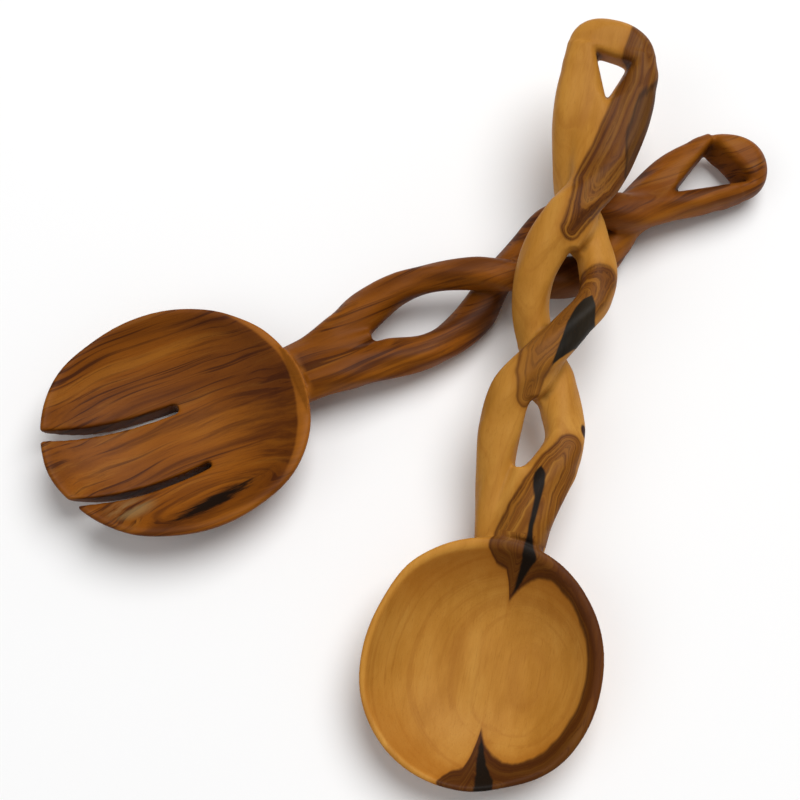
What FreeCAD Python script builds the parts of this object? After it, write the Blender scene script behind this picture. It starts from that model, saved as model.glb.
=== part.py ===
"""A pair of carved olive-wood salad servers lying crossed: a slotted fork and, on top of it, a spoon.

Each server is one piece of wood: a shallow round bowl and a handle carved as two strands that twist
round each other, with two eyes between the strands and a hanging loop at the end.

Each server has its own frame, in millimetres: s runs along it, from the middle of its bowl to the end
of its handle, lat is to the left of s, and z is up, with z = 0 in the middle of the board it was cut
from. The pair's frame has +Y along the spoon's handle, +Z up, and its origin on the table, under the
middle of the pair's bounding box.
"""

import FreeCAD
import Part
import math
import os

Vector = FreeCAD.Vector

# ---- driving dimensions, in millimetres and degrees ---------------------------------------------
BOARD_HALF = 13.0  # half the thickness of the board that each server is carved from
RIM_Z = 8.5  # top of the bowl's rim
FORK_WALL = 10.5  # thickness of the fork's bowl at its deepest point
SPOON_WALL = 6.0
FORK_OUTER_POWER = 3.4  # how fast the outside of the bowl rises towards the rim
SPOON_OUTER_POWER = 2.3
RIM_EDGE = 3.0  # height of the upright band round the rim
FLAT_SHARE = 0.2  # radius of the flat sanded under the bowl, as a share of the bowl's radius
INNER_POWER = 2.4  # the same for the hollow
SECTION_POWER = 2.5  # superellipse power of a strand's section: 2 is an ellipse
SECTION_POINTS = 12

FORK_PLACE = Vector(-78.35, -35.13, BOARD_HALF)
FORK_HEADING = 35.1
SPOON_PLACE = Vector(52.65, -103.52, 14.52)
SPOON_HEADING = 90.0
SPOON_PITCH = 6.95  # the spoon's handle lies on the fork's, so it rises

# ---- the bowls: outline radii every 22.5 degrees from the handle round to the left ---------------
FORK_BOWL_CENTRE = (-0.8, -2.2)
FORK_RADII = [50.7, 49.3, 47, 45.4, 44.6, 45.7, 49, 50.2, 50.3, 47.6, 45.7, 43.8, 44, 45.9, 49.5, 51.2]
SPOON_BOWL_CENTRE = (-1.6, -0.5)
SPOON_RADII = [48.1, 47.7, 47, 44.6, 44.2, 45.1, 44.9, 44, 42.8, 41.4, 42.3, 42, 42.1, 43.6, 45.4, 47.5]

# The slots between the fork's tines: the width, and then (s, lat) of three points of the slot's
# middle line, which is an arc: past the tip, halfway, and the middle of the round inner end.
FORK_SLOTS = [
    (4.2, (-56.0, 14.2), (-24.0, 8.2), (0.5, 6.1)),
    (3.3, (-56.0, -14.0), (-22.0, -19.9), (4.5, -19.8)),
]

# ---- the strands: (s, lat, z, width, thickness) at each station ----------------------------------
# The left strand starts on the left of the neck and passes over at the first crossing.
FORK_LEFT = [
    (34, 5.0, -1.0, 10, 5), (46, 4.5, 0.0, 14, 11), (58, 5.5, -1.5, 14.5, 12.5),
    (70, 9.2, -1.0, 13.5, 13), (83, 13.3, 0.5, 15, 13), (98, 15.0, 2.5, 12, 13),
    (112, 13.3, 4.5, 11.5, 13), (125, 8.7, 6.0, 12, 13), (138, 2.3, 6.5, 13, 13),
    (150, -4.6, 4.5, 14.5, 13), (162, -7.4, 1.0, 14, 13), (175, -4.6, -3.5, 13.5, 13),
    (188, 3.8, -5.5, 14, 13), (200, 12.3, -4.5, 14.5, 13), (213, 17.5, -2.0, 14.5, 13),
    (227, 21.4, -1.5, 11, 13), (238, 22.0, -2.0, 10, 12),
]
FORK_RIGHT = [
    (34, -6.0, -1.0, 10, 5), (46, -6.5, 1.5, 14, 12), (58, -6.5, 2.5, 14.5, 13),
    (70, -8.1, 2.0, 14.3, 13), (84, -9.6, 0.5, 15.5, 13), (100, -11.3, -1.5, 12.2, 13),
    (113, -8.3, -3.5, 13.5, 13), (125, -2.6, -4.5, 14, 13), (138, 6.0, -3.5, 13, 13),
    (150, 11.6, -0.5, 12.5, 13), (163, 16.6, 2.0, 13.4, 13), (176, 16.0, 4.5, 14, 13),
    (188, 10.6, 5.0, 15, 13), (200, 6.4, 3.0, 13.5, 13), (213, 5.0, 0.0, 12, 13),
    (227, 1.8, -1.5, 8.5, 13), (238, 2.2, -2.0, 8.5, 12),
]
FORK_END = [
    (234, 22.0, -2.0, 9.5, 12.5), (242.3, 19.3, -2.0, 12.5, 12.5), (247.8, 11.5, -2.0, 16, 12.5),
    (246.5, 5.3, -2.0, 14.5, 12.5), (234, 1.6, -2.0, 8.5, 12.5),
]
FORK_NECK = [
    (32, -0.5, -1.0, 12, 4), (46, -0.5, 0.5, 16, 10), (62, 0.5, 0.5, 12, 11), (81, 2.6, 0.5, 8, 11),
]
FORK_WEB = [(192, 8.5, -0.5, 8, 9), (204, 9.5, -1.0, 8, 10), (217, 10.3, -1.5, 6, 11)]

SPOON_LEFT = [
    (30, 4.0, -1.0, 10, 5), (42, 5.0, 0.0, 13, 11), (55, 6.5, -1.5, 14, 12.5),
    (70, 9.0, -1.0, 14, 13), (88, 10.3, 1.0, 16, 13), (101, 8.7, 4.0, 15.8, 13),
    (115, 0.6, 5.5, 15, 13), (129, -8.1, 4.0, 13.5, 13), (143, -15.3, 0.5, 13, 13),
    (156, -14.4, -3.0, 14.8, 13), (169, -9.0, -5.5, 14, 13), (183, -0.7, -5.5, 14.5, 13),
    (198, 3.3, -3.0, 15, 13), (213, 4.9, -0.5, 16.8, 13), (229, 5.8, 0.0, 15.5, 13),
    (240, 4.8, 0.0, 13, 12),
]
SPOON_RIGHT = [
    (30, -5.0, -1.0, 10, 5), (42, -6.3, 1.5, 14, 12), (55, -7.5, 2.5, 15.2, 13),
    (70, -11.4, 1.5, 14.6, 13), (85, -14.1, -0.5, 14.5, 13), (98, -11.2, -3.5, 16, 13),
    (111, -5.8, -5.5, 15, 13), (122, 2.0, -5.0, 14, 13), (133, 7.1, -2.5, 14.2, 13),
    (146, 8.6, 0.5, 15, 13), (159, 5.8, 3.5, 17, 13), (173, -0.3, 5.5, 17, 13),
    (187, -8.3, 5.0, 17, 13), (202, -13.3, 2.5, 16, 13), (217, -16.3, 0.5, 15, 13),
    (230, -16.9, 0.0, 13.5, 13), (240, -15.4, 0.0, 12.5, 12),
]
SPOON_END = [
    (235, 5.7, 0.0, 14, 12.5), (243.8, 3.0, 0.0, 17.5, 12.5), (245.8, -4.5, 0.0, 16.5, 12.5),
    (243, -11.4, 0.0, 15, 12.5), (235, -16.0, 0.0, 13, 12.5),
]
SPOON_NECK = [
    (30, -0.5, -1.0, 12, 4), (42, -0.5, 0.5, 16, 10), (58, -0.5, 0.5, 12, 11), (76, -1.4, 0.5, 8, 11),
]
SPOON_WEB = [(192, -4.0, 0.0, 8, 10), (206, -5.5, 0.0, 8, 11), (220.5, -6.0, 0.0, 7.5, 12)]


# ---- strands ------------------------------------------------------------------------------------
def smooth_path(stations):
    """A curve through the stations' centres, and its parameter at each of them."""
    points = [Vector(s, lat, z) for s, lat, z, _, _ in stations]
    parameters = [0.0]
    for a, b in zip(points, points[1:]):
        parameters.append(parameters[-1] + a.distanceToPoint(b))
    curve = Part.BSplineCurve()
    curve.interpolate(Points=points, Parameters=parameters)
    return curve, parameters


def section(centre, tangent, width, thickness):
    """A closed superellipse across the strand: width is level, and thickness is in the upright plane."""
    side = Vector(0, 0, 1).cross(tangent).normalize()
    up = tangent.cross(side)
    points = []
    for i in range(SECTION_POINTS):
        angle = 2 * math.pi * i / SECTION_POINTS
        across, above = math.cos(angle), math.sin(angle)
        swell = (abs(across) ** SECTION_POWER + abs(above) ** SECTION_POWER) ** (-1 / SECTION_POWER)
        points.append(centre + side * (across * swell * width / 2) + up * (above * swell * thickness / 2))
    curve = Part.BSplineCurve()
    curve.interpolate(Points=points, PeriodicFlag=True)
    return Part.Wire(curve.toShape())


def strand(stations):
    """One strand of wood, as a loft through a section at each station."""
    curve, parameters = smooth_path(stations)
    wires = []
    for (s, lat, z, width, thickness), at in zip(stations, parameters):
        tangent = curve.tangent(at)[0].normalize()
        wires.append(section(Vector(s, lat, z), tangent, width, thickness))
    return Part.makeLoft(wires, True, False)


# ---- bowls --------------------------------------------------------------------------------------
def rim_width(angle):
    """The rim is widest at the handle and on the right, and thin at the tip and on the left."""
    at_handle = max(0.0, math.cos(angle)) ** 2
    on_right = max(0.0, -math.sin(angle)) ** 2
    return 2.2 + 2.2 * at_handle + 1.6 * on_right


def outline(centre, radii, share, z, inner=False):
    """The bowl's outline at height z, shrunk to a share of its size; inner is the hollow's outline."""
    points = []
    for i, radius in enumerate(radii):
        angle = 2 * math.pi * i / len(radii)
        r = (radius - (rim_width(angle) if inner else 0.0)) * share
        points.append(Vector(centre[0] + r * math.cos(angle), centre[1] + r * math.sin(angle), z))
    curve = Part.BSplineCurve()
    curve.interpolate(Points=points, PeriodicFlag=True)
    return Part.Wire(curve.toShape())


def dish(centre, radii, bottom, top, power, first_share, inner=False):
    """A solid dish from its flat bottom up to its full outline, as a loft through level outlines."""
    shares = [first_share, 0.35, 0.5, 0.63, 0.75, 0.85, 0.93, 1.0]
    wires = []
    for share in shares:
        rise = (share - first_share) / (1 - first_share)
        wires.append(outline(centre, radii, share, bottom + (top - bottom) * rise ** power, inner))
    return Part.makeLoft(wires, True, False)


def raised(centre, radii, z, height, inner=False):
    """The upright band above a dish, from z up."""
    return Part.Face(outline(centre, radii, 1.0, z, inner)).extrude(Vector(0, 0, height))


def bowl_blank(centre, radii, power):
    """The bowl before it is hollowed."""
    edge_z = RIM_Z - RIM_EDGE
    body = dish(centre, radii, -BOARD_HALF, edge_z, power, FLAT_SHARE)
    return body.fuse(raised(centre, radii, edge_z, RIM_EDGE))


def hollow(centre, radii, wall):
    """What is carved out of the bowl, with room above it to clear the handle's strands."""
    body = dish(centre, radii, -BOARD_HALF + wall, RIM_Z, INNER_POWER, FLAT_SHARE, inner=True)
    return body.fuse(raised(centre, radii, RIM_Z, 3 * RIM_EDGE, inner=True))


def slot_cutter(width, *middle_line):
    """An upright slot along an arc, with a round inner end."""
    start, halfway, end = (Vector(s, lat, -2 * BOARD_HALF) for s, lat in middle_line)
    circle = Part.Arc(start, halfway, end).toShape().Curve
    sides = []
    for offset in (-width / 2, width / 2):
        share = 1 + offset / circle.Radius
        sides.append([circle.Center + (point - circle.Center) * share for point in (start, halfway, end)])
    inside, outside = sides
    across = (outside[2] - inside[2]).normalize()
    onward = Vector(-across.y, across.x, 0)
    if onward.dot(end - halfway) < 0:
        onward = -onward
    edges = [
        Part.Arc(*inside).toShape(),
        Part.Arc(inside[2], end + onward * (width / 2), outside[2]).toShape(),
        Part.Arc(*reversed(outside)).toShape(),
        Part.LineSegment(outside[0], inside[0]).toShape(),
    ]
    return Part.Face(Part.Wire(edges)).extrude(Vector(0, 0, 4 * BOARD_HALF))


# ---- servers ------------------------------------------------------------------------------------
def server(centre, radii, wall, power, runs, slots=()):
    """One whole server in its own frame: a hollowed bowl with its strands, as one solid."""
    body = bowl_blank(centre, radii, power)
    for stations in runs:
        body = body.fuse(strand(stations))
    body = body.cut(hollow(centre, radii, wall))
    for slot in slots:
        body = body.cut(slot_cutter(*slot))
    body = max(body.Solids, key=lambda solid: solid.Volume)
    return body


def put(shape, place, heading, pitch):
    """Moves a server from its own frame to the pair's frame."""
    turn = FreeCAD.Rotation(Vector(0, 0, 1), heading).multiply(FreeCAD.Rotation(Vector(0, 1, 0), -pitch))
    moved = shape.copy()
    moved.Placement = FreeCAD.Placement(place, turn)
    return moved


def main():
    fork_runs = [FORK_LEFT, FORK_RIGHT, FORK_END, FORK_NECK, FORK_WEB]
    spoon_runs = [SPOON_LEFT, SPOON_RIGHT, SPOON_END, SPOON_NECK, SPOON_WEB]
    fork = server(FORK_BOWL_CENTRE, FORK_RADII, FORK_WALL, FORK_OUTER_POWER, fork_runs, FORK_SLOTS)
    spoon = server(SPOON_BOWL_CENTRE, SPOON_RADII, SPOON_WALL, SPOON_OUTER_POWER, spoon_runs)
    parts = {
        "salad_fork": put(fork, FORK_PLACE, FORK_HEADING, 0.0),
        "salad_spoon": put(spoon, SPOON_PLACE, SPOON_HEADING, SPOON_PITCH),
    }
    os.makedirs("parts", exist_ok=True)
    for name, shape in parts.items():
        shape.exportStep(f"parts/{name}.step")
        box = shape.BoundBox
        print(
            f"{name}: valid {shape.isValid()}, {shape.ShapeType}, {shape.Volume / 1000:.1f} cm3,"
            f" x {box.XMin:.2f} {box.XMax:.2f}, y {box.YMin:.2f} {box.YMax:.2f},"
            f" z {box.ZMin:.2f} {box.ZMax:.2f}"
        )


main()
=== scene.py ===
"""A pair of carved olive-wood salad servers lying crossed: a slotted fork and, on top of it, a spoon.

Each server is carved in its own frame, in millimetres, and then put in its place. s runs along it, from
the middle of its bowl to the end of its handle, lat is to the left of s, and z is up, with 0 in the
middle of the board. A shape is a field that is negative inside the wood, and its zero level is the mesh.
"""

import math

import bpy
import numpy as np
import openvdb
from mathutils import Matrix, Vector


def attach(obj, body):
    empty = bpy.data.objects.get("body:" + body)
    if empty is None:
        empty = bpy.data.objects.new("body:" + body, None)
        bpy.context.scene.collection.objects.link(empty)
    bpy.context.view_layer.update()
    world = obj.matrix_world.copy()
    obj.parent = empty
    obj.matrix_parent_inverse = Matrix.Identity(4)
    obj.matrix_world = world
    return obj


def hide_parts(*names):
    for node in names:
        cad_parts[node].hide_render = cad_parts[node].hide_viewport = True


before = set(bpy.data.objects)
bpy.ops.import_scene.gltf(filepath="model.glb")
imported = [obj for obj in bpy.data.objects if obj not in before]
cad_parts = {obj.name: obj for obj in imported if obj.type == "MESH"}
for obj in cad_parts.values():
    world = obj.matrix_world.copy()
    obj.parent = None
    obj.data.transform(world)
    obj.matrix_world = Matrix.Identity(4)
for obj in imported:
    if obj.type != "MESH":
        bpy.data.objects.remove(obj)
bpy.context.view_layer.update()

# ---- driving dimensions, in millimetres and degrees ---------------------------------------------
VOXEL = 0.71
BOARD_HALF = 13.0
RIM_Z = 8.5
RIM_EDGE = 3.0
FLAT_SHARE = 0.2
FORK_WALL, FORK_OUTER_POWER = 10.5, 3.4
SPOON_WALL, SPOON_OUTER_POWER = 6.0, 2.3
INNER_POWER = 2.4
SECTION_POWER = 2.6
RIM_WIDTH, RIM_WIDER_AT_HANDLE, RIM_WIDER_ON_RIGHT = 1.7, 2.2, 1.6
GROOVE_RADIUS, GROOVE_OUT, GROOVE_UP = 1.0, 0.4, 0.3
NECK_RISE_START, NECK_RISE, NECK_TOP_END = 46.0, 10.0, 60.0
CARVING_UNEVENNESS = 0.1
GRID_LOW, GRID_HIGH = (-56.0, -52.0, -15.5), (259.0, 52.0, 16.5)

# How wide each join's fillet or edge's rounding is.
FILLETS = {
    "strands": 2.2, "neck": 2.4, "webs": 4.0, "loop": 3.0, "loop_fill": 4.0, "bowl_to_handle": 2.4,
}
EDGES = {
    "loop_fill": 2.5, "hole_corners": 2.0, "hole": 2.6, "bowl_outside": 1.4, "neck_top": 0.8,
    "bowl_inside": 1.0, "rim": 1.3, "groove": 0.6, "slots": 1.0,
}

# The "shelter" attribute, which places painted shade in creases and wear on edges: how far round a
# point it looks, how often it is smoothed, and what it is on the wall of a slot, where the attribute's
# own look round is too short; there it puts painted shade on the slot's walls.
SHELTER_RADIUS = 3.0
SHELTER_SMOOTHINGS = 4
SLOT_WALL_SHADE_SHELTER = 0.61

# Where each server's own origin lies in the pair's frame, which way its handle points, and its tilt.
FORK_PLACE = (-78.35, -35.13, BOARD_HALF)
FORK_HEADING = 35.1
SPOON_PLACE = (52.65, -103.52, 14.52)
SPOON_HEADING = 90.0
SPOON_PITCH = 6.95

# The bowls: outline radii every 22.5 degrees from the handle round to the left.
FORK_BOWL_CENTRE = (-0.8, -2.2)
FORK_RADII = [50.7, 49.3, 47, 45.4, 44.6, 45.7, 49, 50.2, 50.3, 47.6, 45.7, 43.8, 44, 45.9, 49.5, 51.2]
SPOON_BOWL_CENTRE = (-1.6, -0.5)
SPOON_RADII = [48.1, 47.7, 47, 44.6, 44.2, 45.1, 44.9, 44, 42.8, 41.4, 42.3, 42, 42.1, 43.6, 45.4, 47.5]

# The slots between the fork's tines: the width, and (s, lat) of three points on an arc: past the tip,
# halfway, and the middle of the round inner end.
FORK_SLOTS = [
    (3.9, (-56.0, 14.1), (-24.0, 8.2), (0.5, 6.1)),
    (2.8, (-56.0, -14.3), (-22.0, -20.1), (4.5, -19.9)),
]

# The strands, and the neck and webs that fill the gap between them at the bowl and at the crossings:
# (s, lat, z, width, thickness) at each station. The end is the run round the hanging loop.
FORK_LEFT = [
    (34, 5.0, -1.0, 10, 5), (46, 4.5, 0.0, 14, 11), (58, 5.5, -1.5, 14.5, 12.5),
    (70, 8.7, -1.0, 14.6, 13), (78, 10.9, 0.0, 17.2, 13), (89, 13.7, 1.2, 15, 13), (98, 15.0, 2.5, 12, 13),
    (112, 13.3, 4.5, 11.5, 13), (125, 8.7, 6.0, 12, 13), (138, 2.3, 6.5, 13, 13),
    (150, -4.6, 4.5, 14.5, 13), (162, -6.5, 1.0, 15.8, 13), (175, -4.6, -3.5, 13.5, 13),
    (188, 3.8, -5.5, 14, 13), (200, 12.3, -4.5, 14.5, 13), (213, 17.5, -2.0, 14.5, 13),
    (227, 21.4, -1.5, 11, 13), (238, 22.0, -2.0, 10, 12),
]
FORK_RIGHT = [
    (34, -6.0, -1.0, 10, 5), (46, -6.5, 1.5, 14, 12), (58, -6.5, 2.5, 14.5, 13),
    (70, -8.1, 2.0, 14.3, 13), (84, -9.2, 0.5, 16.2, 13), (100, -11.5, -1.5, 12.6, 13),
    (113, -8.7, -3.5, 14.3, 13), (125, -3.1, -4.5, 14.8, 13), (138, 6.0, -3.5, 13, 13),
    (150, 11.6, -0.5, 12.5, 13), (163, 16.6, 2.0, 13.4, 13), (176, 16.0, 4.5, 14, 13),
    (188, 10.6, 5.0, 15, 13), (200, 6.4, 3.0, 13.5, 13), (213, 5.0, 0.0, 12, 13),
    (227, 1.8, -1.5, 8.5, 13), (238, 2.2, -2.0, 8.5, 12),
]
FORK_END = [
    (234, 22.0, -2.0, 9.5, 12.5), (242.3, 19.3, -2.0, 12.5, 12.5), (247.8, 11.5, -2.0, 16, 12.5),
    (246.5, 5.3, -2.0, 14.5, 12.5), (234, 1.6, -2.0, 8.5, 12.5),
]
FORK_NECK = [
    (32, -0.5, -1.0, 12, 4), (46, -0.5, 0.5, 16, 10), (62, 0.5, 0.5, 12, 11), (80.7, 1.2, 0.5, 4.5, 11),
]
FORK_WEBS = [
    [(188, 7.5, -0.5, 7, 9), (196, 8.5, 0.5, 10, 11), (204, 9.5, 0.0, 9, 12), (217, 10.3, -1.5, 6, 11)],
]

SPOON_LEFT = [
    (30, 4.0, -1.0, 10, 5), (42, 5.0, 0.0, 13, 11), (55, 6.5, -1.5, 14, 12.5),
    (70, 9.0, -1.0, 14, 13), (88, 10.3, 1.0, 16, 13), (101, 8.7, 4.0, 15.8, 13),
    (115, 0.6, 5.5, 15, 13), (129, -8.1, 4.0, 13.5, 13), (143, -15.3, 0.5, 13, 13),
    (156, -14.4, -3.0, 14.8, 13), (169, -9.0, -5.5, 14, 13), (183, -0.7, -5.5, 14.5, 13),
    (198, 3.3, -3.0, 15, 13), (213, 4.9, -0.5, 16.8, 13), (229, 5.8, 0.0, 15.5, 13),
    (240, 4.8, 0.0, 13, 12),
]
SPOON_RIGHT = [
    (30, -5.0, -1.0, 10, 5), (42, -4.5, 2.0, 18.5, 12), (55, -5.3, 3.0, 19.5, 13),
    (70, -8.8, 2.2, 19.6, 13), (78, -12.0, 1.0, 16.8, 13), (86, -13.9, -0.5, 14.8, 13),
    (98, -11.2, -3.5, 16, 13), (111, -5.8, -5.5, 15, 13), (122, 2.0, -5.0, 14, 13),
    (133, 7.1, -2.5, 14.2, 13), (146, 8.6, 0.5, 15, 13), (159, 5.8, 3.5, 17, 13),
    (173, -0.3, 5.5, 17, 13), (187, -8.3, 5.0, 17, 13), (202, -13.3, 2.5, 16, 13),
    (217, -16.3, 0.5, 15, 13), (230, -16.7, 0.0, 13.4, 13), (240, -14.0, 0.0, 11, 12),
]
SPOON_END = [
    (235, 5.7, 0.0, 14, 11.0), (243.8, 3.0, 0.0, 17.5, 11.0), (245.7, -4.5, 0.0, 16.3, 11.0),
    (243, -12.0, 0.0, 15.6, 11.0), (234, -16.8, 0.0, 13.6, 12),
]
SPOON_NECK = [
    (30, -0.5, -1.0, 12, 4), (42, -0.5, 0.5, 16, 10), (58, -0.5, 0.5, 12, 11), (73.4, 0.2, 0.5, 6, 10.5),
]
SPOON_WEBS = [
    [(182, -2.5, 0.0, 6, 9), (192, -3.6, 1.8, 11, 11), (206, -5.5, 1.4, 10, 12), (220.5, -6.0, 0.5, 8, 12)],
    [(160, -4.2, 1.0, 3, 9), (166, -4.8, 1.5, 9, 10), (172, -5.0, 0.5, 11, 10)],
    [(101, 0.0, 1.0, 3, 9), (106, -1.0, 1.5, 8, 9), (113, -1.5, 1.0, 8, 9)],
]

# The strands twist like a rope's: each strand's section rolls by half a turn from one crossing to the
# next, and is level at the crossings. The roll stops where the strands flow into the hanging loop.
FORK_CROSSING, FORK_HALF_TURN = 131.0, 63.0
SPOON_CROSSING, SPOON_HALF_TURN = 115.0, 60.0

# The wood that fills the hanging loop, as a bar, and the hole through it, as corners (s, lat) at the
# bottom and the same at the top.
FORK_LOOP = {
    "fill": [(199, 9.5), (243, 12.0)], "fill_radii": [7.0, 9.0], "z": -2.0, "half": 5.8,
    "bottom": [(219.0, 12.6), (240.5, 5.5), (236.3, 22.0)],
    "top": [(213.5, 8.9), (246.0, 1.0), (239.7, 23.5)],
}
SPOON_LOOP = {
    "fill": [(195, -4.5), (240, -5.5)], "fill_radii": [6.0, 10.0], "z": -0.4, "half": 5.0,
    "bottom": [(223.5, -6.0), (237.3, -11.2), (239.4, 0.6)],
    "top": [(219.5, -5.9), (236.8, -13.5), (239.0, 2.2)],
}

FORK_SHAPE = {
    "centre": FORK_BOWL_CENTRE, "radii": FORK_RADII, "wall": FORK_WALL, "outer_power": FORK_OUTER_POWER,
    "left": FORK_LEFT, "right": FORK_RIGHT, "end": FORK_END, "neck": FORK_NECK, "webs": FORK_WEBS,
    "crossing": FORK_CROSSING, "half_turn": FORK_HALF_TURN, "loop": FORK_LOOP, "slots": FORK_SLOTS,
}
SPOON_SHAPE = {
    "centre": SPOON_BOWL_CENTRE, "radii": SPOON_RADII, "wall": SPOON_WALL, "outer_power": SPOON_OUTER_POWER,
    "left": SPOON_LEFT, "right": SPOON_RIGHT, "end": SPOON_END, "neck": SPOON_NECK, "webs": SPOON_WEBS,
    "crossing": SPOON_CROSSING, "half_turn": SPOON_HALF_TURN, "loop": SPOON_LOOP, "slots": [],
}

# ---- floor, light and camera, in metres, watts and degrees --------------------------------------
FLOOR_HALF = 6.0
KEY_LIGHT = {"at": (0.6, 1.35, 2.8), "size": 2.6, "power": 92.0}
FILL_LIGHT = {"at": (-1.6, -1.3, 2.4), "size": 2.6, "power": 14.0}
WORLD_STRENGTH = 0.27
CAMERA = {"target": (0.00305, -0.01033, 0.015), "distance": 0.633, "azimuth": 11.512, "elevation": 72.0}
LENS_MM = 75.0


# ---- fields -------------------------------------------------------------------------------------
def smooth_min(a, b, k):
    """The union of two fields, with a fillet about k wide where they meet."""
    h = np.maximum(k - np.abs(a - b), 0.0) / k
    return np.minimum(a, b) - h * h * (k / 4)


def smooth_max(a, b, k):
    """The part common to two fields, with its edge eased by about k."""
    return -smooth_min(-a, -b, k)


def through(xs, ys, x):
    """A smooth curve through the points (xs, ys), read at x."""
    xs, ys = np.asarray(xs, float), np.asarray(ys, float)
    slope = np.gradient(ys, xs)
    i = np.clip(np.searchsorted(xs, x) - 1, 0, len(xs) - 2)
    span = xs[i + 1] - xs[i]
    t = np.clip((x - xs[i]) / span, 0.0, 1.0)
    return (
        (2 * t**3 - 3 * t**2 + 1) * ys[i] + (t**3 - 2 * t**2 + t) * span * slope[i]
        + (3 * t**2 - 2 * t**3) * ys[i + 1] + (t**3 - t**2) * span * slope[i + 1]
    )


def round_curve(radii, angle):
    """A smooth closed curve through radii at even angles."""
    n = len(radii)
    xs = np.arange(-3, n + 4) * (2 * math.pi / n)
    ys = np.array([radii[i % n] for i in range(-3, n + 4)])
    return through(xs, ys, np.mod(angle, 2 * math.pi))


def strand(s, lat, z, stations, crossing=0.0, half_turn=None):
    """One strand: a superellipse across s, whose middle, size and, with a half_turn, roll follow s.

    Its width and thickness are kept as it turns away from s and as it rolls.
    """
    table = np.array(stations, float)
    at = s[:, 0, 0]
    lat0, z0, width, thick = (through(table[:, 0], table[:, i], at) for i in (1, 2, 3, 4))
    half_w = width / 2 * np.sqrt(1 + np.gradient(lat0, at) ** 2)
    half_t = thick / 2 * np.sqrt(1 + np.gradient(z0, at) ** 2)
    turned = np.minimum(at, crossing + 1.5 * half_turn) - crossing if half_turn else 0 * at
    roll = math.pi * turned / (half_turn or 1)
    dual = SECTION_POWER / (SECTION_POWER - 1)
    reach = (np.abs(np.cos(roll)) ** dual + np.abs(np.sin(roll)) ** dual) ** (1 / dual)
    along_s = (lat0, z0, half_w, half_t, roll, reach)
    lat0, z0, half_w, half_t, roll, reach = (v[:, None, None] for v in along_s)
    u, v = (lat - lat0) / half_w, (z - z0) / half_t
    across, above = u * np.cos(roll) + v * np.sin(roll), v * np.cos(roll) - u * np.sin(roll)
    r = reach * (np.abs(across) ** SECTION_POWER + np.abs(above) ** SECTION_POWER) ** (1 / SECTION_POWER)
    field = (r - 1) * np.minimum(half_w, half_t)
    return np.maximum(field, np.maximum(table[0, 0] - s, s - table[-1, 0]))


def ring(s, lat, z, stations):
    """A run that turns in plan: a superellipse round a smooth path through the stations."""
    table = np.array(stations, float)
    at = np.concatenate([[0.0], np.cumsum(np.hypot(*np.diff(table[:, :2], axis=0).T))])
    fine = np.linspace(0.0, at[-1], 40)
    path = np.array([through(at, table[:, i], fine) for i in range(5)]).T
    best = None
    for a, b in zip(path, path[1:]):
        ds, dl = b[:2] - a[:2]
        t = np.clip(((s - a[0]) * ds + (lat - a[1]) * dl) / (ds**2 + dl**2), 0.0, 1.0)
        z0, half_w, half_t = (a[i] + (b[i] - a[i]) * t for i in (2, 3, 4))
        values = [2 * np.hypot(s - a[0] - t * ds, lat - a[1] - t * dl) / half_w, z0, half_w / 2, half_t / 2]
        nearer = True if best is None else values[0] < best[0]
        best = values if best is None else [np.where(nearer, v, w) for v, w in zip(values, best)]
    u, z0, half_w, half_t = best
    r = (u**SECTION_POWER + (np.abs(z - z0) / half_t) ** SECTION_POWER) ** (1 / SECTION_POWER)
    return (r - 1) * np.minimum(half_w, half_t)


def rim_width(angle):
    """The rim is widest at the handle and on the right, and thin at the tip and on the left."""
    at_handle, on_right = np.maximum(0, np.cos(angle)) ** 2, np.maximum(0, -np.sin(angle)) ** 2
    return RIM_WIDTH + RIM_WIDER_AT_HANDLE * at_handle + RIM_WIDER_ON_RIGHT * on_right


def dish(rho, z, radius, bottom, top, power):
    """Everything above a dish whose side rises from a flat bottom to its rim, at rho 1."""
    share = np.clip((rho - FLAT_SHARE) / (1 - FLAT_SHARE), 0.0, 1.2)
    height = bottom + (top - bottom) * share**power
    steep = power * (top - bottom) * share ** (power - 1) / ((1 - FLAT_SHARE) * radius)
    return (height - z) / np.sqrt(1 + steep**2)


def convex(s, lat, z, bottom, top, z_bottom, z_top, ease):
    """The inside of a column whose corners move from their bottom places to their top ones."""
    share = np.clip((z - z_bottom) / (z_top - z_bottom), -0.3, 1.3)
    field = None
    n = len(bottom)
    for i in range(n):
        j = (i + 1) % n
        a = [bottom[i][k] + (top[i][k] - bottom[i][k]) * share for k in (0, 1)]
        b = [bottom[j][k] + (top[j][k] - bottom[j][k]) * share for k in (0, 1)]
        ds, dl = b[0] - a[0], b[1] - a[1]
        side = ((s - a[0]) * dl - (lat - a[1]) * ds) / np.sqrt(ds**2 + dl**2)
        field = side if field is None else smooth_max(field, side, ease)
    return field


def capsule(s, lat, a, b, radius_a, radius_b):
    """A level bar with round ends from a to b, seen from above."""
    ds, dl = b[0] - a[0], b[1] - a[1]
    t = np.clip(((s - a[0]) * ds + (lat - a[1]) * dl) / (ds**2 + dl**2), 0.0, 1.0)
    return np.hypot(s - a[0] - t * ds, lat - a[1] - t * dl) - (radius_a + (radius_b - radius_a) * t)


def arc_slot(s, lat, width, start, halfway, end):
    """The inside of an upright slot along an arc through three points, with a round inner end."""
    a, b, c = complex(*start), complex(*halfway), complex(*end)
    w = (c - a) / (b - a)
    centre = a + (b - a) * (w - abs(w) ** 2) / (2j * w.imag)
    spoke = c - centre
    onward = spoke * 1j / abs(spoke)
    if ((c - b) * onward.conjugate()).real < 0:
        onward = -onward
    past = (s - c.real) * onward.real + (lat - c.imag) * onward.imag > 0
    beside = np.abs(np.hypot(s - centre.real, lat - centre.imag) - abs(spoke))
    return np.where(past, np.hypot(s - c.real, lat - c.imag), beside) - width / 2


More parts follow.
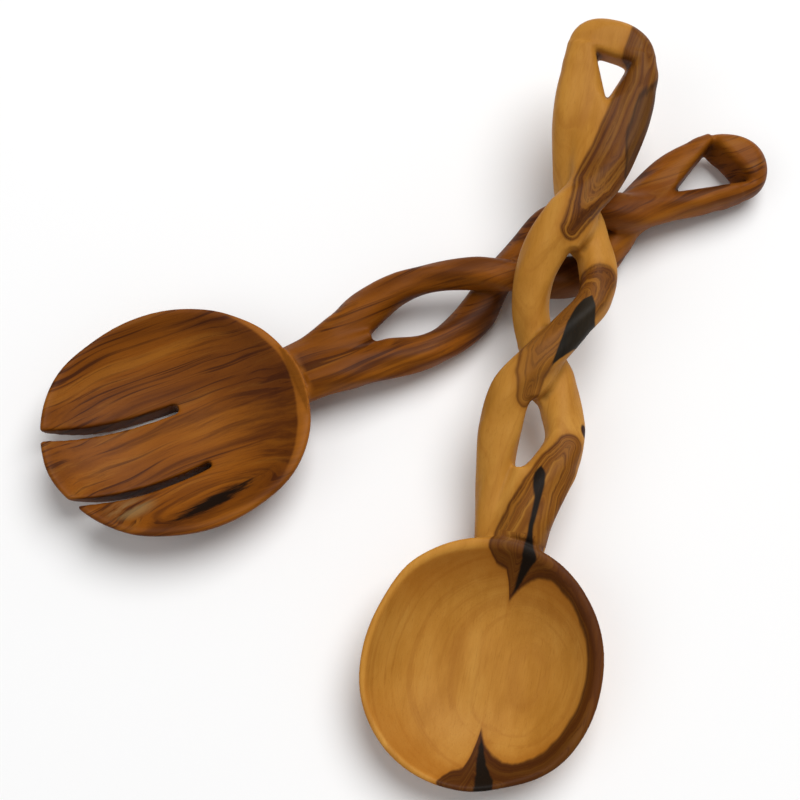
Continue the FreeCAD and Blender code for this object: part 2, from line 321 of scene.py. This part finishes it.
def blurred(block, radius):
    """The block averaged with a soft round brush of about the radius, in cells."""
    offsets = np.arange(-2 * radius, 2 * radius + 1)
    weights = np.exp(-0.5 * (offsets / (0.7 * radius)) ** 2)
    weights /= weights.sum()
    for axis in range(3):
        padding = [(2 * radius, 2 * radius) if i == axis else (0, 0) for i in range(3)]
        padded = np.pad(block, padding, mode="edge")
        size = block.shape[axis]
        block = sum(
            weight * padded.take(range(start, start + size), axis=axis)
            for start, weight in enumerate(weights.astype(np.float32))
        )
    return block


def carved_handle(s, lat, z, shape):
    """The field of a handle, from the neck to the hanging loop."""
    runs = (shape["left"], shape["right"])
    strands = [strand(s, lat, z, run, shape["crossing"], shape["half_turn"]) for run in runs]
    handle = smooth_min(*strands, FILLETS["strands"])
    handle = smooth_min(handle, strand(s, lat, z, shape["neck"]), FILLETS["neck"])
    for web in shape["webs"]:
        handle = smooth_min(handle, strand(s, lat, z, web), FILLETS["webs"])

    loop = shape["loop"]
    handle = smooth_min(handle, ring(s, lat, z, shape["end"]), FILLETS["loop"])
    fill = capsule(s, lat, *loop["fill"], *loop["fill_radii"])
    fill = smooth_max(fill, np.abs(z - loop["z"]) - loop["half"], EDGES["loop_fill"])
    handle = smooth_min(handle, fill, FILLETS["loop_fill"])
    z_low, z_high = loop["z"] - loop["half"], loop["z"] + loop["half"]
    hole = convex(s, lat, z, loop["bottom"], loop["top"], z_low, z_high, EDGES["hole_corners"])
    return smooth_max(handle, -hole, EDGES["hole"])


def carve(shape):
    """The field of one whole server on its grid."""
    counts = np.ceil((np.array(GRID_HIGH) - GRID_LOW) / VOXEL).astype(int)
    axes = [low + VOXEL * np.arange(count) for low, count in zip(GRID_LOW, counts)]
    s, lat, z = (a.astype(np.float32) for a in np.meshgrid(*axes, indexing="ij", sparse=True))
    handle = carved_handle(s, lat, z, shape)

    # the bowl's outside
    centre = shape["centre"]
    angle = np.arctan2(lat - centre[1], s - centre[0])
    reach = np.hypot(s - centre[0], lat - centre[1])
    outer = round_curve(shape["radii"], angle)
    bowl = dish(reach / outer, z, outer, -BOARD_HALF, RIM_Z - RIM_EDGE, shape["outer_power"])
    bowl = smooth_max(bowl, reach - outer, EDGES["bowl_outside"])
    bowl = np.maximum(bowl, -BOARD_HALF - z)
    body = smooth_min(bowl, handle, FILLETS["bowl_to_handle"])

    # nothing stands above the rim but the handle, which rises from it
    above_rim = z - RIM_Z - np.clip(s - NECK_RISE_START, 0, NECK_RISE)
    above = np.where(s < NECK_TOP_END, above_rim, body - 1)
    body = smooth_max(body, above, EDGES["neck_top"])

    # the hollow, a groove between the rim and the neck, and the slots
    inner = outer - rim_width(angle)
    hollow = dish(reach / inner, z, inner, -BOARD_HALF + shape["wall"], RIM_Z, INNER_POWER)
    body = smooth_max(body, -smooth_max(hollow, reach - inner, EDGES["bowl_inside"]), EDGES["rim"])
    groove = np.hypot(reach - outer - GROOVE_OUT, z - RIM_Z - GROOVE_UP) - GROOVE_RADIUS
    body = smooth_max(body, -groove, EDGES["groove"])
    for slot in shape["slots"]:
        body = smooth_max(body, -arc_slot(s, lat, *slot), EDGES["slots"])

    # the hand carving's gentle unevenness
    wave = np.sin(s / 7.3 + 1.3 * np.sin(lat / 9.0)) * np.sin(lat / 6.1 + z / 8.0 + 0.7 * np.sin(s / 13.0))
    return np.maximum(body + CARVING_UNEVENNESS * wave, -BOARD_HALF - z).astype(np.float32)


def shelter_of(field, cells, quads):
    """The share of wood close round each point of the surface, smoothed along the surface."""
    wood = blurred(np.clip(0.5 - field / VOXEL, 0.0, 1.0), round(SHELTER_RADIUS / VOXEL))
    shelter = wood[tuple(np.clip(np.rint(cells).astype(int), 0, np.array(field.shape) - 1).T)]
    corner = quads.ravel()
    for _ in range(SHELTER_SMOOTHINGS):
        face = shelter[quads].mean(axis=1)
        shelter = np.bincount(corner, np.repeat(face, 4)) / np.bincount(corner)
    return shelter


def mesh_of(name, field, matrix, slots):
    """A mesh of the field's zero level, in the pair's frame, in metres.

    Its attribute "shelter" is about 0.5 on a flat face, more in a crease and less on an edge. The
    walls of the slots count as a crease, so that they get painted shade, up to 0.4 mm away from them
    and fading out at 0.8 mm.
    """
    grid = openvdb.FloatGrid()
    grid.copyFromArray(np.ascontiguousarray(field))
    cells, quads = grid.convertToQuads(isovalue=0.0)
    shelter = shelter_of(field, cells, quads)
    points = cells * VOXEL + GRID_LOW
    for slot in slots:
        # painted shade on the slots' walls: they count as a crease
        on_wall = np.clip(2.0 - 2.5 * np.abs(arc_slot(points[:, 0], points[:, 1], *slot)), 0.0, 1.0)
        shelter = np.maximum(shelter, 0.5 + (SLOT_WALL_SHADE_SHELTER - 0.5) * on_wall)
    points = points / 1000
    points = points @ np.array(matrix.to_3x3()).T + np.array(matrix.translation)
    mesh = bpy.data.meshes.new(name)
    mesh.vertices.add(len(points))
    mesh.vertices.foreach_set("co", points.astype(np.float32).ravel())
    mesh.loops.add(4 * len(quads))
    mesh.loops.foreach_set("vertex_index", quads.astype(np.int32).ravel())
    mesh.polygons.add(len(quads))
    mesh.polygons.foreach_set("loop_start", np.arange(0, 4 * len(quads), 4, dtype=np.int32))
    mesh.polygons.foreach_set("use_smooth", np.ones(len(quads), dtype=bool))
    mesh.update(calc_edges=True)
    mesh.attributes.new("shelter", "FLOAT", "POINT").data.foreach_set("value", shelter.astype(np.float32))
    mesh.validate()
    return mesh


def place(heading, pitch, at):
    """The matrix from a server's own frame to the pair's, in metres."""
    turn = Matrix.Rotation(math.radians(heading), 4, "Z") @ Matrix.Rotation(math.radians(-pitch), 4, "Y")
    return Matrix.Translation(Vector(at) / 1000) @ turn


# ---- material nodes -----------------------------------------------------------------------------
class Nodes:
    """A short way to write a node tree. Values are sockets or numbers."""

    def __init__(self, name):
        self.material = bpy.data.materials.new(name)
        self.material.use_nodes = True
        self.tree = self.material.node_tree
        self.tree.nodes.clear()

    def add(self, kind, **settings):
        node = self.tree.nodes.new(kind)
        for key, value in settings.items():
            setattr(node, key, value)
        return node

    def put(self, socket, value):
        if isinstance(value, bpy.types.NodeSocket):
            self.tree.links.new(value, socket)
        else:
            socket.default_value = value

    def math(self, operation, *values, clamp=False):
        node = self.add("ShaderNodeMath", operation=operation, use_clamp=clamp)
        for socket, value in zip(node.inputs, values):
            self.put(socket, value)
        return node.outputs[0]

    def vector(self, operation, *values):
        node = self.add("ShaderNodeVectorMath", operation=operation)
        for socket, value in zip(node.inputs, values):
            self.put(socket, value)
        return node.outputs[0]

    def xyz(self, x, y, z):
        node = self.add("ShaderNodeCombineXYZ")
        for socket, value in zip(node.inputs, (x, y, z)):
            self.put(socket, value)
        return node.outputs[0]

    def noise(self, vector, scale, detail=3.0, roughness=0.55):
        node = self.add("ShaderNodeTexNoise")
        self.put(node.inputs["Vector"], self.vector("MULTIPLY", vector, scale))
        node.inputs["Scale"].default_value = 1.0
        node.inputs["Detail"].default_value = detail
        node.inputs["Roughness"].default_value = roughness
        return node.outputs["Fac"]

    def ramp(self, value, stops):
        """A colour or grey that follows (position, colour or grey) stops."""
        node = self.add("ShaderNodeValToRGB")
        self.put(node.inputs["Fac"], value)
        ramp = node.color_ramp
        while len(ramp.elements) < len(stops):
            ramp.elements.new(1.0)
        for element, (position, colour) in zip(ramp.elements, stops):
            element.position = position
            element.color = colour if isinstance(colour, tuple) else (colour, colour, colour, 1)
        return node.outputs["Color"]

    def step(self, value, low, high):
        """0 below low, 1 above high, and smooth between."""
        node = self.add("ShaderNodeMapRange", interpolation_type="SMOOTHSTEP")
        for socket, v in zip(node.inputs, (value, low, high, 0.0, 1.0)):
            self.put(socket, v)
        return node.outputs[0]

    def curve(self, x, points, low, high):
        """A value that follows (x, y) points, with all of the ys between low and high."""
        x0, x1 = points[0][0], points[-1][0]
        share = self.math("DIVIDE", self.math("SUBTRACT", x, x0), x1 - x0, clamp=True)
        stops = [((px - x0) / (x1 - x0), (py - low) / (high - low)) for px, py in points]
        value = self.math("MULTIPLY", self.ramp(share, stops), high - low)
        return self.math("ADD", value, low)

    def mix(self, share, a, b, blend="MIX"):
        node = self.add("ShaderNodeMix", data_type="RGBA", blend_type=blend)
        self.put(node.inputs[0], share)
        self.put(node.inputs[6], a)
        self.put(node.inputs[7], b)
        return node.outputs[2]

    def tint(self, colour, other, share, strength):
        """The colour, moved towards another by the strength where the share is 1."""
        return self.mix(self.math("MULTIPLY", share, strength), colour, rgb(other))


def rgb(text):
    """A linear colour from a screen colour such as "b07a30"."""
    values = [int(text[i:i + 2], 16) / 255 for i in (0, 2, 4)]
    return tuple(v / 12.92 if v <= 0.04045 else ((v + 0.055) / 1.055) ** 2.4 for v in values) + (1.0,)


def own_millimetres(n, matrix):
    """The place in the server's own frame, in millimetres, as a vector and as s, lat and z."""
    where = n.add("ShaderNodeTexCoord").outputs["Object"]
    turn = n.add("ShaderNodeVectorRotate", rotation_type="EULER_XYZ", invert=True)
    n.put(turn.inputs["Vector"], n.vector("SUBTRACT", where, matrix.translation))
    turn.inputs["Rotation"].default_value = matrix.to_euler()
    p = n.vector("MULTIPLY", turn.outputs[0], (1000, 1000, 1000))
    parts = n.add("ShaderNodeSeparateXYZ")
    n.put(parts.inputs[0], p)
    return p, parts.outputs[0], parts.outputs[1], parts.outputs[2]


def finish_wood(n, colour, fibres, pores):
    """Oiled wood: a satin sheen, with fine grain in its bump, worn edges and painted shade in its creases.
    """
    roughness = n.math("ADD", 0.42, n.math("MULTIPLY", fibres, 0.14))
    height = n.math("ADD", n.math("MULTIPLY", fibres, 0.5), n.math("MULTIPLY", pores, 0.5))
    shelter = n.add("ShaderNodeAttribute", attribute_name="shelter").outputs["Fac"]
    # painted shade: darker in creases and on the slots' walls, where the shelter is high
    colour = n.tint(colour, "241004", n.step(shelter, 0.54, 0.74), 0.8)
    worn = n.math("MULTIPLY", n.step(shelter, 0.4, 0.3), 0.5)
    colour = n.mix(worn, colour, (1.22, 1.2, 1.15, 1), "MULTIPLY")
    shader = n.add("ShaderNodeBsdfPrincipled")
    n.put(shader.inputs["Base Color"], colour)
    n.put(shader.inputs["Roughness"], roughness)
    shader.inputs["Specular IOR Level"].default_value = 0.1
    bump = n.add("ShaderNodeBump")
    bump.inputs["Strength"].default_value = 0.3
    bump.inputs["Distance"].default_value = 0.0003
    n.put(bump.inputs["Height"], height)
    n.put(shader.inputs["Normal"], bump.outputs[0])
    output = n.add("ShaderNodeOutputMaterial")
    n.put(output.inputs["Surface"], shader.outputs[0])
    return n.material


def grain(n, p):
    """Fine fibres and pores, which all olive wood shows: two values from 0 to 1."""
    fibres = n.noise(p, (0.07, 1.5, 1.5), detail=5.0, roughness=0.65)
    pores = n.noise(p, (0.22, 4.5, 4.5), detail=2.0, roughness=0.5)
    return fibres, pores


def closeness(n, value, target, width):
    """1 where the value is at the target, falling to 0 at the width either side."""
    away = n.math("ABSOLUTE", n.math("SUBTRACT", value, target))
    return n.step(away, width, 0.0)


def distance_from(n, p, centre, stretch):
    """The distance of p from a centre, with each axis stretched."""
    length = n.add("ShaderNodeVectorMath", operation="LENGTH")
    n.put(length.inputs[0], n.vector("MULTIPLY", n.vector("SUBTRACT", p, centre), stretch))
    return length.outputs["Value"]


def inside_run(n, p, stations):
    """How far p is inside a winding column of wood, whose stations are (s, lat, z, half its width)."""
    inside = -50.0
    for a, b in zip(stations, stations[1:]):
        along = Vector(b[:3]) - Vector(a[:3])
        away = n.vector("SUBTRACT", p, a[:3])
        dot = n.add("ShaderNodeVectorMath", operation="DOT_PRODUCT")
        n.put(dot.inputs[0], away)
        n.put(dot.inputs[1], along)
        share = n.math("DIVIDE", dot.outputs["Value"], along.length_squared, clamp=True)
        foot = n.vector("MULTIPLY", n.xyz(share, share, share), along)
        half = n.math("ADD", a[3], n.math("MULTIPLY", share, b[3] - a[3]))
        inside = n.math("MAXIMUM", inside, n.math("SUBTRACT", half, distance_from(n, away, foot, (1, 1, 1))))
    return inside


# The spoon's dark heartwood comes to the surface of its handle in three runs: (s, lat, z, half width).
HEART_RUNS = [
    [(47, -6.5, 5, 12), (56, -7.5, 6, 10.5), (66, -9.5, 6, 8.5), (76, -13, 6, 7.5), (84, -15.5, 5, 5.2)],
    [(100, 2.6, 8, 4.8), (108, 3.2, 9, 5.8), (116, 1.6, 9.5, 7), (123, -2.5, 9, 7.5), (132, -7, 7.5, 8),
     (142, -12, 5, 8), (150, -16, 1, 6.5)],
    [(165.5, -1.2, 8.5, 4.6), (174.5, -4.4, 9.3, 6.4), (184.5, -7.6, 9, 8.8), (197, -12.3, 8, 9.4),
     (212, -15.5, 6, 9.3), (228, -18, 5, 8.8), (240, -18, 5, 9.6), (251, -20.5, 5, 10)],
]


# What is taken off a depth to put a place outside that part of the wood.
CUT_OFF = 40.0


def heart_floor(n, s, drifted):
    """The height above which the wood of the spoon's bowl is dark heartwood.

    Its lowest line is along the tree's core, and it rises steeply to the left of the core.
    """
    left = n.curve(drifted, [
        (-6.5, -8.0), (-5.2, -4.6), (-3.6, -0.8), (-1.8, 2.4), (2.3, 3.8), (4.3, 5.8), (6.4, 8.4), (12, 14),
        (60, 40),
    ], -10.0, 40.0)
    right = n.curve(drifted, [
        (-46, 6.5), (-36, 5.0), (-27, 4.7), (-19, 4.2), (-15, 2.9), (-10, -0.3), (-5.2, -4.6), (10, -8.0),
    ], -10.0, 10.0)
    return n.math("MAXIMUM", left, n.math("ADD", right, n.math("MULTIPLY", s, 0.04)))


def heart_depth(n, p, s, lat, z, ripple):
    """How deep in the spoon's heartwood a place is, in millimetres."""
    drift = n.curve(s, [(-50, 2.6), (-20, 1.8), (25, 0), (60, 0)], -5.0, 5.0)
    in_bowl = n.math("SUBTRACT", z, heart_floor(n, s, n.math("SUBTRACT", lat, drift)))
    in_bowl = n.math("SUBTRACT", in_bowl, n.math("MULTIPLY", n.step(s, 49.0, 52.0), CUT_OFF))
    in_handle = inside_run(n, p, HEART_RUNS[0])
    for run in HEART_RUNS[1:]:
        in_handle = n.math("MAXIMUM", in_handle, inside_run(n, p, run))
    in_handle = n.math("SUBTRACT", in_handle, n.math("MULTIPLY", n.step(s, 47.0, 44.0), CUT_OFF))
    inside = n.math("MAXIMUM", in_handle, in_bowl)
    return n.math("ADD", inside, n.math("MULTIPLY", ripple, 1.4))


def spoon_sapwood(n, p, s, lat, z, broad, fibres):
    """Pale wood with faint growth rings, and painted shade up the bowl's wall."""
    sap = n.ramp(broad, [(0.3, rgb("a87026")), (0.5, rgb("b57d31")), (0.7, rgb("bd873a"))])
    hoops = n.math("ADD", n.math("MULTIPLY", z, 0.55), n.math("MULTIPLY", lat, 0.12))
    hoops = n.noise(n.xyz(n.math("MULTIPLY", s, 0.01), hoops, broad), (1, 1.3, 1.5), detail=3.0)
    sap = n.tint(sap, "94591a", n.step(hoops, 0.5, 0.68), 0.27)
    sap = n.tint(sap, "8e5715", n.step(fibres, 0.52, 0.75), 0.3)

    # painted shade: it is darker and more orange up the bowl's wall, at the handle and at the tip
    reach = distance_from(n, p, (*SPOON_BOWL_CENTRE, 0.0), (1, 1, 0))
    wall = n.math("MULTIPLY", n.step(reach, 27.0, 41.0), n.step(n.math("ABSOLUTE", s), 8.0, 30.0))
    wall = n.math("MULTIPLY", wall, n.math("MULTIPLY", n.step(z, 8.4, 7.4), n.step(reach, 47.0, 45.0)))
    return n.tint(sap, "9c5200", wall, 0.4)


def spoon_heartwood(n, s, lat, inside, in_bowl, fibres):
    """Dark wood, whose growth rings run parallel to its border."""
    along = n.math("MULTIPLY", s, 0.006)
    ringed = n.xyz(along, inside, n.math("MULTIPLY", lat, 0.02))
    bands = n.noise(ringed, (1, 0.55, 1), detail=3.0, roughness=0.6)
    heart = n.ramp(bands, [
        (0.34, rgb("5a300c")), (0.45, rgb("784611")), (0.55, rgb("8e5a1b")), (0.68, rgb("a06c27")),
    ])
    thin = n.noise(n.xyz(along, inside, 7.0), (1, 0.95, 1), detail=1.0)
    lines = n.math("MULTIPLY", closeness(n, thin, 0.5, 0.06), n.step(fibres, 0.3, 0.6))
    heart = n.tint(heart, "3d1c08", lines, 0.6)

    # it is darkest in the bowl, above all at the tip, palest in the middle run, and darker in the last
    heart = n.tint(heart, "4b2407", in_bowl, 0.65)
    heart = n.tint(heart, "2c1204", n.step(s, 0.0, -35.0), 0.4)
    middle_run = n.math("MULTIPLY", n.step(s, 92.0, 100.0), n.step(s, 150.0, 135.0))
    heart = n.tint(heart, "a87334", middle_run, 0.15)
    return n.tint(heart, "50290b", n.step(s, 168.0, 195.0), 0.5)


def core_line(n, s, lat, inside, ripple):
    """1 on the tree's near-black core, a line of varying width in the spoon's bowl and neck."""
    half = n.curve(s, [
        (-52, 4.0), (-38, 2.8), (-34, 1.8), (-26, 0.4), (25, 0.2), (31, 0.6), (38, 1.7), (41.5, 2.6),
        (45, 1.7), (50, 0.8), (63, 1.1), (68, 2.0), (73, 1.8), (77, -1.5), (260, -1.5),
    ], -2.0, 5.0)
    middle = n.curve(s, [
        (-52, -8.0), (-38, -7.5), (-34, -5.8), (-28, -4.6), (25, -5.3), (36, -7.8), (41, -9.0), (45, -7.9),
        (53, -7.3), (63, -7.9), (70, -7.2), (80, -7.0),
    ], -10.0, 0.0)
    middle = n.math("ADD", middle, n.math("MULTIPLY", ripple, 2.0))
    away = n.math("ABSOLUTE", n.math("SUBTRACT", lat, middle))
    return n.math("MULTIPLY", n.step(n.math("SUBTRACT", half, away), -0.6, 0.4), n.step(inside, 0.0, 1.0))


def black_leaf(n, s, lat, z, ripple):
    """1 on the leaf-shaped black patch on the spoon's handle: between two curves and above a third."""
    upper = n.curve(s, [
        (108, -5.0), (113, -3.9), (120, -5.0), (130, -6.6), (136, -8.5), (140, -11.0), (143, -15.0),
        (146, -30.0),
    ], -40.0, 0.0)
    lower = n.curve(s, [
        (108, -2.0), (113, -4.7), (117.6, -8.8), (122.6, -13.5), (127, -19.0), (132, -17.0), (138, -15.8),
        (142, -14.0), (146, -2.0),
    ], -40.0, 0.0)
    left_of = n.math("MULTIPLY", n.math("SUBTRACT", upper, lat), 0.8)
    right_of = n.math("MULTIPLY", n.math("SUBTRACT", lat, lower), 0.8)
    leaf = n.math("MINIMUM", left_of, right_of)
    side = n.curve(s, [
        (108, 6.0), (114, 3.6), (122, 1.4), (131, -1.5), (139, -1.5), (143, 0.5), (146, 4.0),
    ], -5.0, 6.0)
    leaf = n.math("MINIMUM", leaf, n.math("SUBTRACT", z, side))
    leaf = n.math("ADD", leaf, n.math("MULTIPLY", ripple, 0.7))
    return n.step(leaf, -0.25, 0.35)


def spoon_wood(matrix):
    n = Nodes("carved_olive_spoon")
    p, s, lat, z = own_millimetres(n, matrix)
    fibres, pores = grain(n, p)
    ripple = n.math("SUBTRACT", n.noise(p, (0.05, 0.25, 0.25), detail=3.0), 0.5)
    broad = n.noise(p, (0.03, 0.09, 0.09), detail=4.0, roughness=0.6)

    # the sapwood browns towards the heartwood, whose border is a dark line
    inside = heart_depth(n, p, s, lat, z, ripple)
    in_heart, in_bowl = n.step(inside, -0.6, 0.7), n.step(s, 49.0, 45.0)
    sap = spoon_sapwood(n, p, s, lat, z, broad, fibres)
    sap = n.tint(sap, "955813", n.step(inside, -3.0, 0.0), 0.4)
    colour = n.mix(in_heart, sap, spoon_heartwood(n, s, lat, inside, in_bowl, fibres))
    border = n.math("MULTIPLY", in_heart, n.step(inside, 1.1, 0.5))
    colour = n.tint(colour, "44210a", border, n.math("ADD", 0.35, n.math("MULTIPLY", in_bowl, 0.35)))

    # a dark lens of heartwood on the right of the handle's end
    lens = distance_from(n, p, (207.0, -22.5, 1.5), (0.042, 0.13, 0.07))
    lens = n.math("ADD", lens, n.math("MULTIPLY", ripple, 0.45))
    colour = n.tint(colour, "40260d", n.step(lens, 1.06, 0.9), 0.55)
    colour = n.tint(colour, "1f0f05", closeness(n, lens, 0.96, 0.12), 0.6)

    # the core line, the black patch, and a pin knot on the right strand
    colour = n.mix(core_line(n, s, lat, inside, ripple), colour, rgb("160e07"))
    black = n.ramp(broad, [(0.3, rgb("15110c")), (0.7, rgb("2c2419"))])
    colour = n.mix(black_leaf(n, s, lat, z, ripple), colour, black)
    pin = distance_from(n, p, (92.0, -20.3, 1.0), (0.4, 0.62, 0.62))
    colour = n.mix(n.step(pin, 1.4, 0.8), colour, rgb("2e0f04"))

    colour = n.tint(colour, "54300e", n.step(pores, 0.6, 0.75), 0.2)
    return finish_wood(n, colour, fibres, pores)


def bent_grain(n, s, lat, z, sway):
    """Where a place lies in the fork's grain, which runs along s, sways, and bends round the knot."""
    ds = n.math("DIVIDE", n.math("SUBTRACT", s, 2.0), 24.0)
    dl = n.math("ADD", lat, 36.0)
    near = n.math("POWER", math.e, n.math("MULTIPLY", n.math("MULTIPLY", ds, ds), -1.0))
    fade = n.math("POWER", math.e, n.math("DIVIDE", n.math("ABSOLUTE", dl), -15.0))
    push = n.math("MULTIPLY", n.step(dl, -3.0, 3.0), -9.0)
    push = n.math("MULTIPLY", n.math("MULTIPLY", near, fade), push)
    across = n.math("ADD", n.math("MULTIPLY", lat, 0.85), n.math("MULTIPLY", z, 0.5))
    across = n.math("ADD", n.math("ADD", across, push), n.math("MULTIPLY", sway, 12.0))
    deep = n.math("SUBTRACT", n.math("MULTIPLY", z, 0.85), n.math("MULTIPLY", lat, 0.5))
    return n.xyz(s, across, deep)


def from_knot(n, p, s, lat, z):
    """The distance from the fork's knot, about 1 at its edge and streaky at its ends."""
    turn = n.add("ShaderNodeVectorRotate", rotation_type="Z_AXIS")
    n.put(turn.inputs["Vector"], n.vector("SUBTRACT", p, (1.0, -35.5, 2.0)))
    turn.inputs["Angle"].default_value = math.radians(-5)
    knot = distance_from(n, turn.outputs[0], (0, 0, 0), (1 / 14.0, 1 / 2.6, 1 / 30.0))
    frayed = n.noise(n.xyz(n.math("MULTIPLY", s, 0.05), lat, z), (1, 0.5, 0.2), detail=4.0, roughness=0.7)
    return n.math("ADD", knot, n.math("MULTIPLY", n.math("SUBTRACT", frayed, 0.5), 3.0))


def fork_wood(matrix):
    n = Nodes("carved_olive_fork")
    p, s, lat, z = own_millimetres(n, matrix)
    fibres, pores = grain(n, p)
    sway = n.math("SUBTRACT", n.noise(p, (0.012, 0.04, 0.04), detail=2.0), 0.5)

    # streaks and thin dark lines over a broad drift of tone
    grained = bent_grain(n, s, lat, z, sway)
    broad = n.noise(grained, (0.008, 0.075, 0.03), detail=3.0, roughness=0.6)
    streaks = n.noise(grained, (0.011, 0.22, 0.05), detail=5.0, roughness=0.6)
    thin = n.noise(grained, (0.007, 0.6, 0.08), detail=3.0, roughness=0.6)
    colour = n.ramp(broad, [
        (0.3, rgb("5f2f05")), (0.45, rgb("763f08")), (0.57, rgb("864a0b")), (0.72, rgb("925611")),
    ])
    colour = n.tint(colour, "4a2206", n.step(streaks, 0.5, 0.68), 0.7)
    colour = n.tint(colour, "9a621f", n.step(streaks, 0.46, 0.34), 0.35)
    lines = n.math("MULTIPLY", n.step(thin, 0.52, 0.62), n.step(broad, 0.68, 0.45))
    colour = n.tint(colour, "3a1805", lines, 0.8)
    colour = n.tint(colour, "4e2608", n.step(fibres, 0.5, 0.72), 0.25)

    # painted shade: darker and redder towards the handle's side of the bowl, with an orange band along the
    # rim there
    reach = distance_from(n, p, (*FORK_BOWL_CENTRE, 0.0), (1, 1, 0))
    reach = n.math("ADD", reach, n.math("MULTIPLY", sway, 3.0))
    handle_side_shade = n.math("MULTIPLY", n.step(s, 8.0, 40.0), n.step(reach, 48.5, 46.0))
    colour = n.tint(colour, "451c04", handle_side_shade, 0.5)
    band = n.math("MULTIPLY", n.step(reach, 46.0, 47.2), n.step(s, 53.0, 50.5))
    band = n.math("MULTIPLY", band, n.math("MULTIPLY", n.step(s, 22.0, 42.0), n.step(z, 5.0, 7.5)))
    colour = n.tint(colour, "9c5c18", band, 0.75)

    # painted shade on the strand that passes under at the first crossing, and painted shadow where the spoon
    # lies
    for centre, stretch in (((126, -7.5, -5.0), (0.05, 0.12, 0.1)), ((161, -6.0, 3.0), (0.05, 0.08, 0.06))):
        colour = n.tint(colour, "2c1103", n.step(distance_from(n, p, centre, stretch), 1.3, 0.5), 0.68)

    # a pale patch near the third tine's tip
    pale = n.step(distance_from(n, p, (-29.0, -26.0, 2.0), (0.09, 0.2, 0.1)), 1.2, 0.4)
    colour = n.tint(colour, "8a7048", n.math("MULTIPLY", pale, n.step(streaks, 0.6, 0.45)), 0.6)

    # the knot, in a darker surround
    knot = from_knot(n, p, s, lat, z)
    colour = n.tint(colour, "3a1804", n.step(knot, 2.0, 0.8), 0.5)
    colour = n.mix(n.step(knot, 1.3, 0.6), colour, rgb("160a03"))

    colour = n.tint(colour, "381a05", n.step(pores, 0.6, 0.75), 0.25)
    return finish_wood(n, colour, fibres, pores)


# ---- the two servers ----------------------------------------------------------------------------
def make_server(name, node, body, wood, matrix, shape):
    """One server's carving, in its wood, on its body and in place of its CAD node."""
    piece = bpy.data.objects.new(name, mesh_of(name, carve(shape), matrix, shape["slots"]))
    bpy.context.scene.collection.objects.link(piece)
    piece.data.materials.append(wood(matrix))
    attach(piece, body)
    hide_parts(node)


make_server(
    "fork_carving", "salad_fork", "fork", fork_wood,
    place(FORK_HEADING, 0.0, FORK_PLACE), FORK_SHAPE,
)
make_server(
    "spoon_carving", "salad_spoon", "spoon", spoon_wood,
    place(SPOON_HEADING, SPOON_PITCH, SPOON_PLACE), SPOON_SHAPE,
)


# ---- floor, light and camera --------------------------------------------------------------------
def floor_paper():
    n = Nodes("floor_paper")
    shader = n.add("ShaderNodeBsdfPrincipled")
    p = n.add("ShaderNodeTexCoord").outputs["Object"]
    tone = n.noise(p, (3, 3, 3), detail=2.0)
    n.put(shader.inputs["Base Color"], n.ramp(tone, [(0.3, 0.93), (0.7, 0.95)]))
    shader.inputs["Roughness"].default_value = 0.9
    shader.inputs["Specular IOR Level"].default_value = 0.1
    output = n.add("ShaderNodeOutputMaterial")
    n.put(output.inputs["Surface"], shader.outputs[0])
    return n.material


def floor():
    mesh = bpy.data.meshes.new("floor")
    corners = [(-1, -1), (1, -1), (1, 1), (-1, 1)]
    mesh.from_pydata([(x * FLOOR_HALF, y * FLOOR_HALF, 0) for x, y in corners], [], [(0, 1, 2, 3)])
    mesh.materials.append(floor_paper())
    plane = bpy.data.objects.new("floor", mesh)
    bpy.context.scene.collection.objects.link(plane)


def area_light(name, at, size, power):
    """A round light that looks at the origin."""
    light = bpy.data.lights.new(name, "AREA")
    light.shape = "DISK"
    light.size = size
    light.energy = power
    lamp = bpy.data.objects.new(name, light)
    bpy.context.scene.collection.objects.link(lamp)
    lamp.location = at
    lamp.rotation_euler = (-Vector(at)).to_track_quat("-Z", "Y").to_euler()


def camera(target, distance, azimuth, elevation):
    """Azimuth 0 looks along +Y; a positive one moves the camera towards +X."""
    data = bpy.data.cameras.new("camera")
    data.lens = LENS_MM
    data.sensor_width = 36.0
    data.clip_start = 0.01
    data.clip_end = 20.0
    a, e = math.radians(azimuth), math.radians(elevation)
    back = Vector((math.sin(a) * math.cos(e), -math.cos(a) * math.cos(e), math.sin(e)))
    right = Vector((math.cos(a), math.sin(a), 0.0))
    up = back.cross(right)
    eye = bpy.data.objects.new("camera", data)
    bpy.context.scene.collection.objects.link(eye)
    turn = Matrix((right, up, back)).transposed().to_4x4()
    eye.matrix_world = Matrix.Translation(Vector(target) + back * distance) @ turn
    bpy.context.scene.camera = eye


def world_light():
    """An even white light from all round."""
    world = bpy.data.worlds.new("studio")
    bpy.context.scene.world = world
    world.use_nodes = True
    background = world.node_tree.nodes["Background"]
    background.inputs["Color"].default_value = (1, 1, 1, 1)
    background.inputs["Strength"].default_value = WORLD_STRENGTH


floor()
area_light("key", **KEY_LIGHT)
area_light("fill", **FILL_LIGHT)
world_light()
bpy.context.scene.view_settings.view_transform = "Standard"
camera(**CAMERA)
